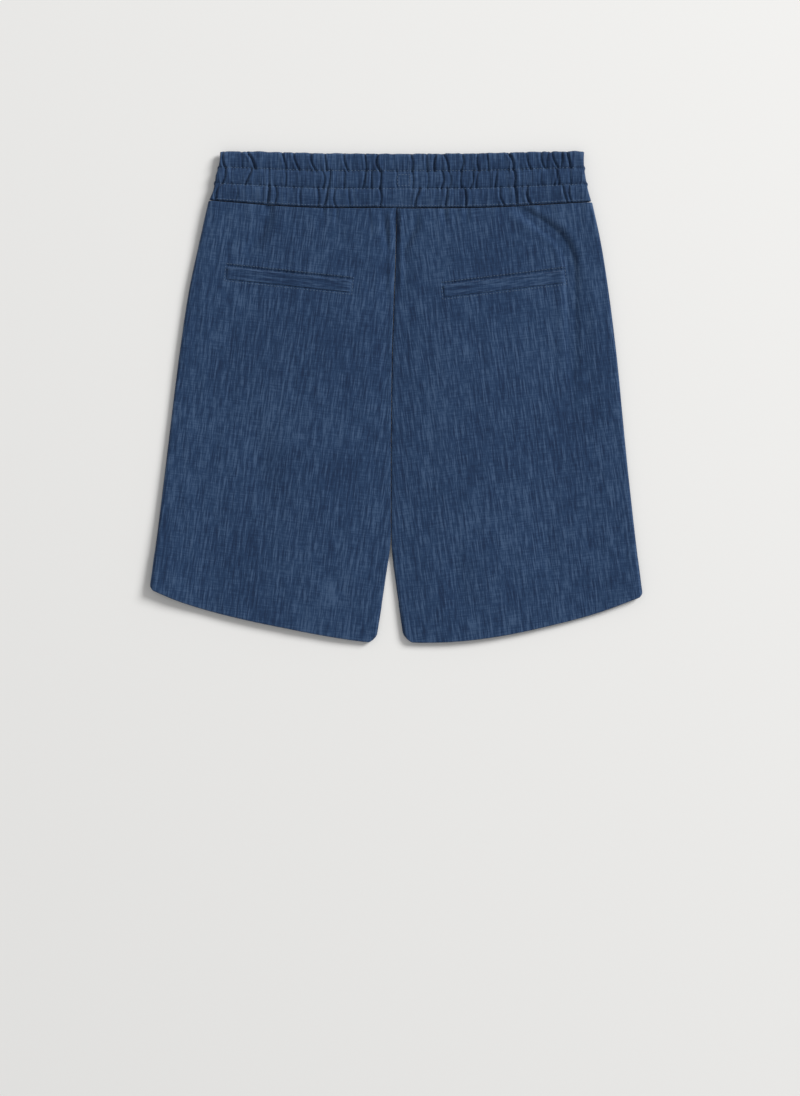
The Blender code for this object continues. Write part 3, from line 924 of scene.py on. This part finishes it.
def make_thread():
    """Twisted sewing thread, a little paler than the linen."""
    thread = bpy.data.materials.new("blue_thread")
    thread.use_nodes = True
    tree = thread.node_tree
    shader = tree.nodes["Principled BSDF"]
    place = add_node(tree, "ShaderNodeTexCoord").outputs["Object"]
    twist = threads(tree, place, 900.0, 2.0, "DIAGONAL")
    tree.links.new(coloured(tree, twist, THREAD_COLOURS), shader.inputs["Base Color"])
    bump = add_node(tree, "ShaderNodeBump", {"Strength": 0.5, "Distance": 0.00005}, {"Height": twist})
    tree.links.new(bump.outputs[0], shader.inputs["Normal"])
    shader.inputs["Roughness"].default_value = 0.6
    return thread


LINEN, THREAD_FINISH = make_linen(), make_thread()
SHEETS = [*BACKS.values(), *FRONTS.values(), band_back, band_front, *WELTS.values()]
for piece in SHEETS:
    piece.data.materials.append(LINEN)
for piece in (band_stitches, patch_stitches, *welt_stitches.values()):
    piece.data.materials.append(THREAD_FINISH)
print(len(SHEETS), "linen pieces")

# %% [markdown]
# ## Floor and light
#
# A plain off-white floor, one broad soft lamp low on the upper right, and an even white surround: the lamp
# draws the folds and a soft shadow on the left, and the surround keeps the shadows open.

# %% Lay the floor and hang the lamp
FLOOR_DROP = 0.0005
FLOOR_COLOUR = (0.83, 0.825, 0.81, 1)
SURROUND = 0.45
floor_mesh = bpy.data.meshes.new("floor")
FLOOR_CORNERS = [(x, y, -FLOOR_DROP) for x, y in ((-6, -6), (6, -6), (6, 6), (-6, 6))]
floor_mesh.from_pydata(FLOOR_CORNERS, [], [(0, 1, 2, 3)])
floor = bpy.data.objects.new("floor", floor_mesh)
scene.collection.objects.link(floor)
floor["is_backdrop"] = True
paint = bpy.data.materials.new("pale_floor")
paint.use_nodes = True
paint.node_tree.nodes["Principled BSDF"].inputs["Base Color"].default_value = FLOOR_COLOUR
paint.node_tree.nodes["Principled BSDF"].inputs["Roughness"].default_value = 0.9
floor_mesh.materials.append(paint)

world = bpy.data.worlds.new("surround")
world.use_nodes = True
world.node_tree.nodes["Background"].inputs["Color"].default_value = (1, 1, 1, 1)
world.node_tree.nodes["Background"].inputs["Strength"].default_value = SURROUND
scene.world = world

LAMP_AWAY, LAMP_TURN, LAMP_RISE = 10.0, math.radians(35), math.radians(32)
LAMP_WIDE, LAMP_WATTS = 4.2, 1045
lamp = bpy.data.objects.new("lamp", bpy.data.lights.new("lamp", "AREA"))
lamp.data.shape = "DISK"
lamp.data.size = LAMP_WIDE
lamp.data.energy = LAMP_WATTS
lamp.location = Vector((
    math.cos(LAMP_RISE) * math.cos(LAMP_TURN), math.cos(LAMP_RISE) * math.sin(LAMP_TURN), math.sin(LAMP_RISE),
)) * LAMP_AWAY
lamp.rotation_euler = lamp.location.to_track_quat("Z", "Y").to_euler()
scene.collection.objects.link(lamp)
scene.view_settings.view_transform = "Standard"
print("lamp", round(LAMP_AWAY), "m away")

# %% [markdown]
# ## How the pieces are cut
#
# The leg panels are cut with a slanting waist and a shaped crotch, so their area is less than their width
# times their length. The band is cut longer than it lies, for its gathers: by about a third, which is an
# assumed, usual amount.

# %% [markdown]
# ## The size of the cloth
#
# The sizes of the solids and of the finished cloth are printed side by side. The finished cloth has to
# keep to the solids' size. Both boxes are kept as plain numbers.

# %% Print both boxes and finish
SHOWN_BOX = [list(corner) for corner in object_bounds()]
for label, box in (("solids", CAD_BOX), ("cloth", SHOWN_BOX)):
    print(label, [round((high - low) / MM, 1) for low, high in zip(*box)], "mm")
